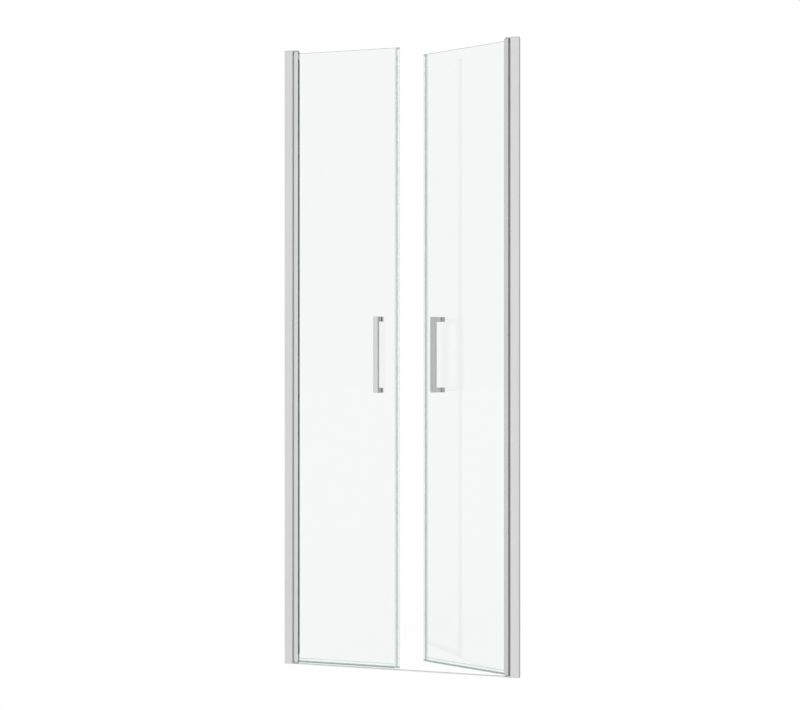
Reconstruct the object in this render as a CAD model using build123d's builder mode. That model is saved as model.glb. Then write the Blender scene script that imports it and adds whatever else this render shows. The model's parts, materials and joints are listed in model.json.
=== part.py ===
from build123d import *
import math
import os

# All sizes are in millimetres. X runs along the closed doors, Y into the shower and Z up.
# The origin is on the floor, in the middle of the opening and in the middle plane of the
# closed glass. Left and right are as seen from outside, where the handles are.

# Whole door
door_height = 1950.0
door_width = 770.0
right_leaf_angle = 24.7
meeting_gap = 1.2
swing_gap = 1.6
snug_clearance = 0.05
slide_clearance = 0.25
running_clearance = 0.05

# Wall profiles and their caps
wall_profile_width = 27.0
wall_profile_depth = 17.0
wall_profile_web = 1.8
wall_profile_flange = 1.5
wall_profile_corner = 0.6
wall_screw_hole_radius = 2.5
wall_screw_count = 4
wall_screw_end_distance = 150.0
wall_cap_thickness = 2.0
wall_cap_plug_length = 12.0

# Adjusting posts
post_width = 17.6
post_wall = 1.4
post_recess = 0.4
screw_port_wall = 1.1
screw_port_pitch = 9.8

# Screws that hold the posts in the wall profiles, and their covers
adjusting_screw_radius = 1.9
adjusting_screw_length = 4.6
adjusting_screw_head_radius = 3.4
adjusting_screw_head_height = 2.2
adjusting_screw_count = 3
adjusting_screw_end_distance = 200.0
screw_cap_wall = 0.8

# Pivot brackets, their screws and bushes
top_block_height = 8.0
bottom_block_height = 10.0
top_arm_thickness = 4.0
bottom_arm_thickness = 5.0
bracket_wall = 2.7
root_clearance = 0.5
bracket_screw_radius = 1.9
bracket_screw_head_radius = 3.5
bracket_screw_head_height = 1.9
bracket_screw_length = 24.0
bush_wall = 1.45
bush_flange_radius = 6.0
bush_flange_thickness = 0.8

# Pivot pins and the plugs that hold them
pin_radius = 2.5
pin_recess = 0.8
pin_chamfer = 0.5
plug_flange = 1.5
plug_length = 24.0
plug_to_profile_edge = 2.5
top_end_gap = 0.4
thrust_gap = 0.3

# Hinge profiles
hinge_profile_width = 14.5
hinge_profile_depth = 15.5
hinge_back_corner = 2.0
hinge_front_corner = 0.5
glass_pocket_depth = 10.5

# Glass and its gasket
glass_thickness = 6.0
glass_arris = 0.4
glass_top_drop = 10.0
glass_bottom_rise = 3.0
gasket_thickness = 1.25
gasket_lip = 0.5
notch_clearance = 0.5

# Clear seals
seal_wall = 0.85
seal_grip = 7.0
seal_web = 1.0
magnet_chamber_depth = 7.5
magnet_clearance = 0.3
seal_cap_thickness = 1.0
seal_cap_plug = 5.0
seal_overhang = 2.6
bottom_seal_height = 8.5
bottom_seal_base = 1.0
bottom_seal_end_gap = 0.5
drip_lip_drop = 6.4
drip_lip_reach = 2.4

# Threshold strip
threshold_height = 2.5
threshold_depth = 9.0
threshold_forward = 3.0
threshold_slope = 1.0
threshold_end_gap = 0.5

# Handles
handle_height = 238.0
handle_bar = 15.0
handle_projection = 34.0
handle_to_middle = 68.0
handle_centre_height = 983.0
handle_edge = 0.6
handle_gasket_thickness = 1.0
handle_stud_radius = 3.0
handle_stud_grip = 10.0
glass_hole_radius = 6.0
inner_cap_length = 16.0
inner_cap_chamfer = 1.0

# Places along X, measured from the middle of the opening
jamb_face = door_width / 2 - wall_profile_width
sweep_radius = hinge_back_corner + math.hypot(
    hinge_profile_width / 2 - hinge_back_corner,
    hinge_profile_depth / 2 - hinge_back_corner,
)
hinge_x = jamb_face - swing_gap - sweep_radius
root_face = hinge_x + sweep_radius + root_clearance
post_face = jamb_face + post_recess
post_centre = post_face + post_width / 2
post_depth = wall_profile_depth - 2 * (wall_profile_flange + slide_clearance)
leaf_reach = hinge_x - meeting_gap / 2

# Heights
wall_profile_length = door_height - wall_cap_thickness
post_bottom = bottom_block_height
post_top = wall_profile_length - top_block_height
leaf_bottom = bottom_arm_thickness + bush_flange_thickness + thrust_gap
leaf_top = door_height - top_arm_thickness - top_end_gap
hinge_profile_bottom = leaf_bottom + plug_flange
hinge_profile_top = leaf_top - plug_flange
glass_bottom = hinge_profile_bottom + glass_bottom_rise
seal_bottom = glass_bottom - seal_overhang
glass_top = door_height - glass_top_drop
seal_top = glass_top - seal_cap_thickness

# Sizes of what fits together
bush_bore_radius = pin_radius + running_clearance
bush_radius = bush_bore_radius + bush_wall
arm_radius = bush_radius + bracket_wall
screw_port_radius = bracket_screw_radius + snug_clearance
glass_pocket_width = glass_thickness + 2 * gasket_thickness + 2 * snug_clearance
pocket_floor = hinge_profile_width / 2 - glass_pocket_depth
plug_edge = hinge_profile_width / 2 - plug_to_profile_edge
glass_back_edge = pocket_floor + gasket_thickness
glass_free_edge = leaf_reach - magnet_chamber_depth - seal_web
seal_slot = glass_thickness + 2 * snug_clearance
seal_width = seal_slot + 2 * seal_wall
handle_x = hinge_x - handle_to_middle
handle_post_offset = (handle_height - handle_bar) / 2
gasket_face = glass_thickness / 2 + handle_gasket_thickness

sides = ("left", "right")


def spread(count, end_distance):
    """Heights of count points spaced evenly up the door, the outer ones at the end distance."""
    pitch = (door_height - 2 * end_distance) / (count - 1)
    return [end_distance + pitch * i for i in range(count)]


def turn_over(piece):
    """Turn a piece drawn upwards from the floor into one that hangs from the door's top."""
    with BuildPart() as turned:
        with Locations((0, 0, door_height)):
            add(piece.mirror(Plane.XY))
    return turned.part


# Pieces of the left jamb, on the negative side of X


def make_wall_profile():
    """U profile on the wall, open towards the leaf, with holes for the wall screws."""
    slot_width = wall_profile_depth - 2 * wall_profile_flange
    with BuildPart() as wall_profile:
        with BuildSketch():
            with Locations((-jamb_face - wall_profile_width / 2, 0)):
                RectangleRounded(wall_profile_width, wall_profile_depth, wall_profile_corner)
            with Locations((-jamb_face, 0)):
                Rectangle(
                    wall_profile_width - wall_profile_web,
                    slot_width,
                    align=(Align.MAX, Align.CENTER),
                    mode=Mode.SUBTRACT,
                )
        extrude(amount=wall_profile_length)
        with BuildSketch(Plane.YZ.offset(-door_width / 2)):
            with Locations(*[(0, z) for z in spread(wall_screw_count, wall_screw_end_distance)]):
                Circle(wall_screw_hole_radius)
        extrude(amount=wall_profile_web, mode=Mode.SUBTRACT)
        with BuildSketch(Plane.XZ.offset(-wall_profile_depth / 2)):
            with Locations(*adjusting_screw_points()):
                Circle(adjusting_screw_radius + slide_clearance)
        extrude(amount=wall_profile_flange, mode=Mode.SUBTRACT)
    return wall_profile.part


def adjusting_screw_points():
    """Places of the adjusting screws on the profile's rear flange, along X and Z."""
    heights = spread(adjusting_screw_count, adjusting_screw_end_distance)
    return [(-post_centre, z) for z in heights]


def make_adjusting_post():
    """Hollow post in the wall profile, with a screw port at each side for the brackets."""
    with BuildPart() as adjusting_post:
        with BuildSketch(Plane.XY.offset(post_bottom)):
            with Locations((-post_centre, 0)):
                Rectangle(post_width, post_depth)
                Rectangle(
                    post_width - 2 * post_wall, post_depth - 2 * post_wall, mode=Mode.SUBTRACT
                )
                with GridLocations(screw_port_pitch, 0, 2, 1):
                    Circle(screw_port_radius + screw_port_wall)
                    Circle(screw_port_radius, mode=Mode.SUBTRACT)
        extrude(amount=post_top - post_bottom)
        with BuildSketch(Plane.XZ.offset(-post_depth / 2)):
            with Locations(*adjusting_screw_points()):
                Circle(adjusting_screw_radius + snug_clearance)
        extrude(amount=post_wall, mode=Mode.SUBTRACT)
    return adjusting_post.part


def make_wall_profile_cap():
    """Cap on the wall profile's top, with a plug in the room behind the post."""
    plug_width = wall_profile_width - wall_profile_web - post_recess - post_width
    with BuildPart() as wall_profile_cap:
        with BuildSketch(Plane.XY.offset(wall_profile_length)):
            with Locations((-jamb_face - wall_profile_width / 2, 0)):
                RectangleRounded(wall_profile_width, wall_profile_depth, wall_profile_corner)
        extrude(amount=wall_cap_thickness)
        with BuildSketch(Plane.XY.offset(wall_profile_length)):
            with Locations((-post_face - post_width - plug_width / 2, 0)):
                Rectangle(plug_width - 2 * slide_clearance, post_depth)
        extrude(amount=-wall_cap_plug_length)
    return wall_profile_cap.part


def countersunk_screw(grow):
    """Countersunk screw, or its hole where grow is the clearance, pointing up from its head."""
    head = bracket_screw_head_radius + grow
    shank = bracket_screw_radius + grow
    with BuildPart() as screw:
        with BuildSketch(Plane.XZ):
            with BuildLine():
                Polyline(
                    (0, 0),
                    (head, 0),
                    (shank, bracket_screw_head_height + grow),
                    (shank, bracket_screw_length + grow),
                    (0, bracket_screw_length + grow),
                    close=True,
                )
            make_face()
        revolve(axis=Axis.Z)
    return screw.part


def bracket_screw_locations(step):
    """Places of a bracket's two screw heads, on the block's outer face."""
    offsets = (-screw_port_pitch / 2, screw_port_pitch / 2)
    return [Location((-post_centre + x, 0, step)) for x in offsets]


def make_pivot_bracket(block_height, arm_thickness, step):
    """Bracket drawn as the bottom one: a block at the post's end and an arm to the pivot.

    The arm's outer face is at height 0 and the block's is at the height of the step.
    """
    root_width = jamb_face - root_face
    with BuildPart() as bracket:
        with BuildSketch(Plane.XY.offset(step)):
            with Locations((-jamb_face, 0)):
                Rectangle(
                    post_width + post_recess, post_depth, align=(Align.MAX, Align.CENTER)
                )
        extrude(amount=block_height)
        with BuildSketch():
            with Locations((-jamb_face, 0)):
                Rectangle(root_width, post_depth, align=(Align.MIN, Align.CENTER))
        extrude(amount=step + block_height)
        with BuildSketch():
            with Locations((-jamb_face, 0)):
                Rectangle(jamb_face - hinge_x, 2 * arm_radius, align=(Align.MIN, Align.CENTER))
            with Locations((-hinge_x, 0)):
                Circle(arm_radius)
                Circle(bush_radius + snug_clearance, mode=Mode.SUBTRACT)
        extrude(amount=arm_thickness)
        with Locations(*bracket_screw_locations(step)):
            add(countersunk_screw(snug_clearance), mode=Mode.SUBTRACT)
    return bracket.part


def make_bottom_pivot_bracket():
    """Bracket on the floor, under the post."""
    return make_pivot_bracket(bottom_block_height, bottom_arm_thickness, 0)


def make_top_pivot_bracket():
    """Bracket over the post. Its arm is flush with the top of the wall profile's cap."""
    return turn_over(
        make_pivot_bracket(top_block_height, top_arm_thickness, wall_cap_thickness)
    )


def make_bracket_screws():
    """Two screws down into the post's ports and two up into them."""
    screw = countersunk_screw(0)
    with BuildPart() as upper:
        with Locations(*bracket_screw_locations(wall_cap_thickness)):
            add(screw)
    with BuildPart() as bracket_screws:
        with Locations(*bracket_screw_locations(0)):
            add(screw)
        add(turn_over(upper.part))
    return bracket_screws.part


def make_bush(length, flange):
    """Bearing bush in a bracket's arm, drawn upwards from the floor, with a flange on top."""
    with BuildPart() as bush:
        with BuildSketch():
            with Locations((-hinge_x, 0)):
                Circle(bush_radius)
        extrude(amount=length)
        if flange:
            with BuildSketch(Plane.XY.offset(length)):
                with Locations((-hinge_x, 0)):
                    Circle(bush_flange_radius)
            extrude(amount=flange)
        with BuildSketch():
            with Locations((-hinge_x, 0)):
                Circle(bush_bore_radius)
        extrude(amount=length + flange, mode=Mode.SUBTRACT)
    return bush.part


def make_bottom_pivot_bush():
    """Lower bush, whose flange carries the leaf."""
    return make_bush(bottom_arm_thickness, bush_flange_thickness)


def make_top_pivot_bush():
    """Upper bush, flush with the arm on both faces."""
    return turn_over(make_bush(top_arm_thickness, 0))


def make_adjusting_screws():
    """Pan head screws through the wall profile's rear flange into the post."""
    with BuildPart() as adjusting_screws:
        with BuildSketch(Plane.XZ.offset(-wall_profile_depth / 2)):
            with Locations(*adjusting_screw_points()):
                Circle(adjusting_screw_head_radius)
        extrude(amount=-adjusting_screw_head_height)
        fillet(
            adjusting_screws.faces().filter_by(Axis.Y).group_by(Axis.Y)[-1].edges(),
            adjusting_screw_head_height / 2,
        )
        with BuildSketch(Plane.XZ.offset(-wall_profile_depth / 2)):
            with Locations(*adjusting_screw_points()):
                Circle(adjusting_screw_radius)
        extrude(amount=adjusting_screw_length)
    return adjusting_screws.part


def make_adjusting_screw_caps():
    """Round covers pushed over the adjusting screws' heads."""
    room_radius = adjusting_screw_head_radius + snug_clearance
    room_depth = adjusting_screw_head_height + snug_clearance
    with BuildPart() as adjusting_screw_caps:
        with BuildSketch(Plane.XZ.offset(-wall_profile_depth / 2)):
            with Locations(*adjusting_screw_points()):
                Circle(room_radius + screw_cap_wall)
        extrude(amount=-room_depth - screw_cap_wall)
        fillet(
            adjusting_screw_caps.faces().filter_by(Axis.Y).group_by(Axis.Y)[-1].edges(),
            screw_cap_wall,
        )
        with BuildSketch(Plane.XZ.offset(-wall_profile_depth / 2)):
            with Locations(*adjusting_screw_points()):
                Circle(room_radius)
        extrude(amount=-room_depth, mode=Mode.SUBTRACT)
    return adjusting_screw_caps.part


def make_threshold_strip():
    """Low strip on the floor between the bottom brackets, sloped along both long edges."""
    front = -threshold_forward - threshold_depth / 2
    back = front + threshold_depth
    half_length = hinge_x - arm_radius - threshold_end_gap
    with BuildPart() as threshold_strip:
        with BuildSketch(Plane.YZ.offset(-half_length)):
            with BuildLine():
                Polyline(
                    (front, 0),
                    (back, 0),
                    (back - threshold_slope, threshold_height),
                    (front + threshold_slope, threshold_height),
                    close=True,
                )
            make_face()
        extrude(amount=2 * half_length)
    return threshold_strip.part


# Pieces of a leaf, drawn closed, with the hinge axis at the origin and the free edge along X


def hinge_outline():
    """Outer outline of the hinge profile, rounder on the side towards the wall."""
    with BuildSketch() as outline:
        Rectangle(hinge_profile_width, hinge_profile_depth)
        fillet(outline.vertices().group_by(Axis.X)[0], hinge_back_corner)
        fillet(outline.vertices().group_by(Axis.X)[-1], hinge_front_corner)
    return outline.sketch


def make_hinge_profile():
    """Aluminium profile that turns with the leaf and holds the glass in a pocket."""
    with BuildPart() as hinge_profile:
        with BuildSketch(Plane.XY.offset(hinge_profile_bottom)):
            add(hinge_outline())
            with Locations((hinge_profile_width / 2, 0)):
                Rectangle(
                    glass_pocket_depth,
                    glass_pocket_width,
                    align=(Align.MAX, Align.CENTER),
                    mode=Mode.SUBTRACT,
                )
        extrude(amount=hinge_profile_top - hinge_profile_bottom)
    return hinge_profile.part


def make_end_plug(bottom):
    """Plug in the hinge profile's lower end, whose flange starts at the given height."""
    with BuildPart() as end_plug:
        with BuildSketch(Plane.XY.offset(bottom)):
            add(hinge_outline())
        extrude(amount=plug_flange)
        with BuildSketch(Plane.XY.offset(bottom + plug_flange)):
            with Locations((plug_edge, 0)):
                Rectangle(
                    plug_edge - pocket_floor - snug_clearance,
                    glass_pocket_width - 2 * snug_clearance,
                    align=(Align.MAX, Align.CENTER),
                )
        extrude(amount=plug_length)
        with BuildSketch(Plane.XY.offset(bottom)):
            Circle(pin_radius + snug_clearance)
        extrude(amount=plug_flange + plug_length, mode=Mode.SUBTRACT)
    return end_plug.part


def make_bottom_end_plug():
    """Plug at the foot of the hinge profile."""
    return make_end_plug(leaf_bottom)


def make_top_end_plug():
    """Plug at the head of the hinge profile."""
    return turn_over(make_end_plug(door_height - leaf_top))


def make_pivot_pin(plug_end):
    """Pin from inside the bracket's bush to the given height, drawn as the bottom one."""
    with BuildPart() as pivot_pin:
        with BuildSketch(Plane.XY.offset(pin_recess)):
            Circle(pin_radius)
        extrude(amount=plug_end - pin_recess)
        chamfer(pivot_pin.edges().filter_by(GeomType.CIRCLE), pin_chamfer)
    return pivot_pin.part


def make_bottom_pivot_pin():
    """Pin under the leaf."""
    return make_pivot_pin(leaf_bottom + plug_flange + plug_length)


def make_top_pivot_pin():
    """Pin over the leaf."""
    return turn_over(make_pivot_pin(door_height - leaf_top + plug_flange + plug_length))


def handle_points():
    """Places of the handle's two studs in the glass, along X and Z."""
    return [
        (handle_x, handle_centre_height - handle_post_offset),
        (handle_x, handle_centre_height + handle_post_offset),
    ]


def make_glass_panel():
    """Glass with its arrised edges, the handle's holes and notches round the end plugs."""
    notch_width = plug_edge + notch_clearance - glass_back_edge
    plug_top = hinge_profile_bottom + plug_length + notch_clearance
    plug_bottom = hinge_profile_top - plug_length - notch_clearance
    with BuildPart() as glass_panel:
        with BuildSketch(Plane.XZ):
            with Locations((glass_back_edge, glass_bottom)):
                Rectangle(
                    glass_free_edge - glass_back_edge,
                    glass_top - glass_bottom,
                    align=(Align.MIN, Align.MIN),
                )
                Rectangle(
                    notch_width,
                    plug_top - glass_bottom,
                    align=(Align.MIN, Align.MIN),
                    mode=Mode.SUBTRACT,
                )
            with Locations((glass_back_edge, glass_top)):
                Rectangle(
                    notch_width,
                    glass_top - plug_bottom,
                    align=(Align.MIN, Align.MAX),
                    mode=Mode.SUBTRACT,
                )
        extrude(amount=glass_thickness / 2, both=True)
        chamfer(glass_panel.faces().filter_by(Axis.Y).edges(), glass_arris)
        with BuildSketch(Plane.XZ):
            with Locations(*handle_points()):
                Circle(glass_hole_radius)
        extrude(amount=glass_thickness / 2, both=True, mode=Mode.SUBTRACT)
    return glass_panel.part


def make_glazing_gasket():
    """U shaped gasket round the glass in the hinge profile, between the two end plugs."""
    bottom = hinge_profile_bottom + plug_length + snug_clearance
    top = hinge_profile_top - plug_length - snug_clearance
    front = hinge_profile_width / 2 + gasket_lip
    with BuildPart() as glazing_gasket:
        with BuildSketch(Plane.XY.offset(bottom)):
            with Locations((front, 0)):
                Rectangle(
                    front - pocket_floor - snug_clearance,
                    glass_thickness + 2 * gasket_thickness,
                    align=(Align.MAX, Align.CENTER),
                )
                Rectangle(
                    front - glass_back_edge + snug_clearance,
                    glass_thickness + snug_clearance,
                    align=(Align.MAX, Align.CENTER),
                    mode=Mode.SUBTRACT,
                )
        extrude(amount=top - bottom)
    return glazing_gasket.part


def make_free_edge_seal():
    """Clear seal that grips the glass edge, with a chamber for the magnet strip."""
    clip_start = glass_free_edge - seal_grip
    with BuildPart() as free_edge_seal:
        with BuildSketch(Plane.XY.offset(seal_bottom)):
            with Locations((clip_start, 0)):
                Rectangle(
                    leaf_reach - clip_start, seal_width, align=(Align.MIN, Align.CENTER)
                )
                Rectangle(
                    seal_grip + snug_clearance,
                    seal_slot,
                    align=(Align.MIN, Align.CENTER),
                    mode=Mode.SUBTRACT,
                )
            with Locations((leaf_reach - seal_wall, 0)):
                Rectangle(
                    magnet_chamber_depth - seal_wall,
                    seal_width - 2 * seal_wall,
                    align=(Align.MAX, Align.CENTER),
                    mode=Mode.SUBTRACT,
                )
        extrude(amount=seal_top - seal_bottom)
    return free_edge_seal.part


def magnet_outline(gap):
    """Outline of what fills the magnet chamber with the given gap all round."""
    with BuildSketch() as outline:
        with Locations((leaf_reach - seal_wall - gap, 0)):
            Rectangle(
                magnet_chamber_depth - seal_wall - 2 * gap,
                seal_width - 2 * seal_wall - 2 * gap,
                align=(Align.MAX, Align.CENTER),
            )
    return outline.sketch


def make_magnet_strip():
    """Magnet strip in the seal's chamber, between the plugs of the end caps."""
    bottom = seal_bottom + seal_cap_plug + magnet_clearance
    top = seal_top - seal_cap_plug - magnet_clearance
    with BuildPart() as magnet_strip:
        with BuildSketch(Plane.XY.offset(bottom)):
            add(magnet_outline(magnet_clearance))
        extrude(amount=top - bottom)
    return magnet_strip.part


def make_seal_end_cap(seal_end, direction, start):
    """Flat cap on one end of the free edge seal, with a plug in the magnet chamber."""
    with BuildPart() as seal_end_cap:
        with BuildSketch(Plane.XY.offset(seal_end)):
            with Locations((start, 0)):
                Rectangle(leaf_reach - start, seal_width, align=(Align.MIN, Align.CENTER))
        extrude(amount=direction * seal_cap_thickness)
        with BuildSketch(Plane.XY.offset(seal_end)):
            add(magnet_outline(snug_clearance))
        extrude(amount=-direction * seal_cap_plug)
    return seal_end_cap.part


def make_seal_end_caps():
    """Caps under the whole seal and over its chamber, the upper one level with the glass."""
    with BuildPart() as seal_end_caps:
        add(make_seal_end_cap(seal_bottom, -1, glass_free_edge - seal_grip))
        add(make_seal_end_cap(seal_top, 1, glass_free_edge + snug_clearance))
    return seal_end_caps.part


def make_bottom_seal():
    """Clear seal on the glass's bottom edge, with an upright and a slanted drip lip."""
    start = max(hinge_profile_width / 2, arm_radius) + bottom_seal_end_gap
    end = glass_free_edge - seal_grip - bottom_seal_end_gap
    base_bottom = glass_bottom - bottom_seal_base
    tip = base_bottom - drip_lip_drop
    with BuildPart() as bottom_seal:
        with BuildSketch(Plane.YZ.offset(start)):
            with Locations((0, base_bottom)):
                Rectangle(
                    seal_width,
                    bottom_seal_base + bottom_seal_height,
                    align=(Align.CENTER, Align.MIN),
                )
            with Locations((0, glass_bottom - snug_clearance)):
                Rectangle(
                    seal_slot,
                    bottom_seal_height + snug_clearance,
                    align=(Align.CENTER, Align.MIN),
                    mode=Mode.SUBTRACT,
                )
            with Locations((0, base_bottom)):
                Rectangle(seal_wall, drip_lip_drop, align=(Align.CENTER, Align.MAX))
            with BuildLine():
                Polyline(
                    (seal_width / 2 - seal_wall, base_bottom),
                    (seal_width / 2, base_bottom),
                    (seal_width / 2 + drip_lip_reach, tip),
                    (seal_width / 2 + drip_lip_reach - seal_wall, tip),
                    close=True,
                )
            make_face()
        extrude(amount=end - start)
    return bottom_seal.part


def make_handle():
    """Square bar with a post at each end, in one piece, with threaded holes in the posts."""
    front = glass_thickness / 2 + handle_projection
    stud_depth = handle_stud_grip + snug_clearance
    with BuildPart() as handle:
        with BuildSketch(Plane.YZ.offset(handle_x)):
            with Locations((-front, handle_centre_height)):
                Rectangle(
                    front - gasket_face, handle_height, align=(Align.MIN, Align.CENTER)
                )
            with Locations((handle_bar - front, handle_centre_height)):
                Rectangle(
                    front - gasket_face - handle_bar,
                    handle_height - 2 * handle_bar,
                    align=(Align.MIN, Align.CENTER),
                    mode=Mode.SUBTRACT,
                )
        extrude(amount=handle_bar / 2, both=True)
        seat = handle.faces().sort_by(Axis.Y)[-2:].edges()
        fillet([edge for edge in handle.edges() if edge not in seat], handle_edge)
        with BuildSketch(Plane.XZ.offset(gasket_face)):
            with Locations(*handle_points()):
                Circle(handle_stud_radius + snug_clearance)
        extrude(amount=stud_depth, mode=Mode.SUBTRACT)
    return handle.part


def make_handle_studs():
    """Studs from the handle's posts through the glass into the inner caps."""
    with BuildPart() as handle_studs:
        with BuildSketch(Plane.XZ):
            with Locations(*handle_points()):
                Circle(handle_stud_radius)
        extrude(amount=gasket_face + handle_stud_grip, both=True)
    return handle_studs.part


def make_handle_gaskets():
    """Square gaskets under the handle's posts and under the inner caps."""
    with BuildPart() as handle_gaskets:
        for start in (gasket_face, -glass_thickness / 2):
            with BuildSketch(Plane.XZ.offset(start)):
                with Locations(*handle_points()):
                    Rectangle(handle_bar, handle_bar)
                    Circle(handle_stud_radius + snug_clearance, mode=Mode.SUBTRACT)
            extrude(amount=-handle_gasket_thickness)
    return handle_gaskets.part


def make_handle_hole_sleeves():
    """Sleeves between the studs and the glass."""
    with BuildPart() as handle_hole_sleeves:
        with BuildSketch(Plane.XZ):
            with Locations(*handle_points()):
                Circle(glass_hole_radius - snug_clearance)
                Circle(handle_stud_radius + snug_clearance, mode=Mode.SUBTRACT)
        extrude(amount=glass_thickness / 2, both=True)
    return handle_hole_sleeves.part


def make_handle_inner_caps():
    """Square caps on the inner side that the studs screw into."""
    stud_depth = handle_stud_grip + snug_clearance
    with BuildPart() as handle_inner_caps:
        with BuildSketch(Plane.XZ.offset(-gasket_face)):
            with Locations(*handle_points()):
                Rectangle(handle_bar, handle_bar)
        extrude(amount=-inner_cap_length)
        chamfer(
            handle_inner_caps.faces().filter_by(Axis.Y).group_by(Axis.Y)[-1].edges(),
            inner_cap_chamfer,
        )
        with BuildSketch(Plane.XZ.offset(-gasket_face)):
            with Locations(*handle_points()):
                Circle(handle_stud_radius + snug_clearance)
        extrude(amount=-stud_depth, mode=Mode.SUBTRACT)
    return handle_inner_caps.part


jamb_pieces = {
    "wall_profile": make_wall_profile,
    "adjusting_post": make_adjusting_post,
    "wall_profile_cap": make_wall_profile_cap,
    "top_pivot_bracket": make_top_pivot_bracket,
    "bottom_pivot_bracket": make_bottom_pivot_bracket,
    "top_pivot_bush": make_top_pivot_bush,
    "bottom_pivot_bush": make_bottom_pivot_bush,
    "bracket_screws": make_bracket_screws,
    "adjusting_screws": make_adjusting_screws,
    "adjusting_screw_caps": make_adjusting_screw_caps,
}

leaf_pieces = {
    "hinge_profile": make_hinge_profile,
    "top_end_plug": make_top_end_plug,
    "bottom_end_plug": make_bottom_end_plug,
    "top_pivot_pin": make_top_pivot_pin,
    "bottom_pivot_pin": make_bottom_pivot_pin,
    "glass_panel": make_glass_panel,
    "glazing_gasket": make_glazing_gasket,
    "free_edge_seal": make_free_edge_seal,
    "magnet_strip": make_magnet_strip,
    "seal_end_caps": make_seal_end_caps,
    "bottom_seal": make_bottom_seal,
    "handle": make_handle,
    "handle_studs": make_handle_studs,
    "handle_gaskets": make_handle_gaskets,
    "handle_hole_sleeves": make_handle_hole_sleeves,
    "handle_inner_caps": make_handle_inner_caps,
}

leaf_places = {
    "left": Location((-hinge_x, 0, 0)),
    "right": Location((hinge_x, 0, 0), (0, 0, -right_leaf_angle)),
}


def for_side(piece, side):
    """Keep a piece drawn for the left side, or mirror it for the right one."""
    with BuildPart() as sided:
        if side == "left":
            add(piece)
        else:
            mirror(piece, about=Plane.YZ)
    return sided.part


def hang(piece, side):
    """Hang a leaf's piece on its hinge axis, at the angle where the leaf stands at rest."""
    with BuildPart() as hung:
        with Locations(leaf_places[side]):
            add(for_side(piece, side))
    return hung.part


def write(part, name):
    """Label a finished piece and write its STEP file."""
    part.label = name
    export_step(part, f"parts/{name}.step")


os.makedirs("parts", exist_ok=True)
write(make_threshold_strip(), "threshold_strip")
for side in sides:
    for name, make in jamb_pieces.items():
        write(for_side(make(), side), f"{name}_{side}")
    for name, make in leaf_pieces.items():
        write(hang(make(), side), f"{name}_{side}")
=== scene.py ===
import json
import math

import bmesh
import bpy
from mathutils import Matrix, Vector


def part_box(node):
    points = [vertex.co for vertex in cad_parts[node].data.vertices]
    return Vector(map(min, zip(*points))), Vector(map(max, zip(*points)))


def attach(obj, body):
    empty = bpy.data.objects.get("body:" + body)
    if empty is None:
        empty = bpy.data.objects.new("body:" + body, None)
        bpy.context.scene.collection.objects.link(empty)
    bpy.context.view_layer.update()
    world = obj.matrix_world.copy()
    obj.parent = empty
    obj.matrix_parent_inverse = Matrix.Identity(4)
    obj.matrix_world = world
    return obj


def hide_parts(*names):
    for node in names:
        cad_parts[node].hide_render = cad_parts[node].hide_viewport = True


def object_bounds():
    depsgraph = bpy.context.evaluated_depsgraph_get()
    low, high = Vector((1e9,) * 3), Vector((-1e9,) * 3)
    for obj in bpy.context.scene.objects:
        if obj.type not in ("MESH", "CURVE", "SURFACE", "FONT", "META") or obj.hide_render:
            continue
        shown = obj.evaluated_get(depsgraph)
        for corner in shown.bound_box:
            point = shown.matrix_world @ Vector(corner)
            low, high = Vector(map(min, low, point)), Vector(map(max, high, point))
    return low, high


bl_info = {
    "name": "Double Hinged Shower Door",
    "version": (1, 0, 0),
    "blender": (4, 5, 0),
    "location": "View3D > Sidebar > Shower Door",
    "description": "Finishes of a two leaf glass shower door, with its seals, gaskets and caps",
    "category": "Object",
}

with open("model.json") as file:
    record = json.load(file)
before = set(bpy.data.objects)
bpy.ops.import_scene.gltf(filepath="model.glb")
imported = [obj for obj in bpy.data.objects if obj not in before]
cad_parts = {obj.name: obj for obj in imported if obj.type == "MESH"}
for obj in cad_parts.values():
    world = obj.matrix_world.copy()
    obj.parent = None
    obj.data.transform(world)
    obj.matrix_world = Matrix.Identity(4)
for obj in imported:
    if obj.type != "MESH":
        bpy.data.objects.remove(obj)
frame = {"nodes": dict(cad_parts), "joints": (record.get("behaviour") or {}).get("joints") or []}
cad_low, cad_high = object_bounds()

# Lengths are in metres. X runs along the closed door, Y into the shower and Z up.
MM = 0.001
SIDES = ("left", "right")
MIRROR_X = Matrix.Scale(-1, 4, (1, 0, 0))
FULL_SWING = 90.0
MERGE_DISTANCE = 0.001 * MM
SMOOTH_ANGLE = math.radians(35)
FLAT_ANGLE = math.radians(0.5)
ROUND_SEGMENTS = 4
EDGE_SEGMENTS = 2
ROUND_PROFILE = 0.5
WHITE = (1.0, 1.0, 1.0, 1.0)
joints = {joint["child"]: joint for joint in frame["joints"]}
finishes = {}


# Places


def leaf_body(side):
    """Name of the body that a leaf's pieces move with."""
    return side + "_leaf"


def hinge_place(side):
    """Where a leaf's hinge axis meets the floor's plane."""
    return Vector((joints[leaf_body(side)]["pos_m"][0], 0, 0))


def rest_angle(side):
    """How far a leaf stands open at rest, in radians, turned about Z."""
    joint = joints[leaf_body(side)]
    return math.radians(FULL_SWING - joint["range_deg"][1]) * joint["axis"][2]


def leaf_matrix(side):
    """Places a piece drawn with its hinge axis at the origin and its free edge along X."""
    placed = Matrix.Translation(hinge_place(side)) @ Matrix.Rotation(rest_angle(side), 4, "Z")
    return placed if side == "left" else placed @ MIRROR_X


def jamb_matrix(side):
    """Places a piece drawn for the left jamb."""
    return Matrix.Identity(4) if side == "left" else MIRROR_X


def leaf_box(piece):
    """Lowest and highest corner of a leaf's piece, measured from its hinge axis."""
    low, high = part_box(piece + "_left")
    return low - hinge_place("left"), high - hinge_place("left")


# Settings


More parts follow.
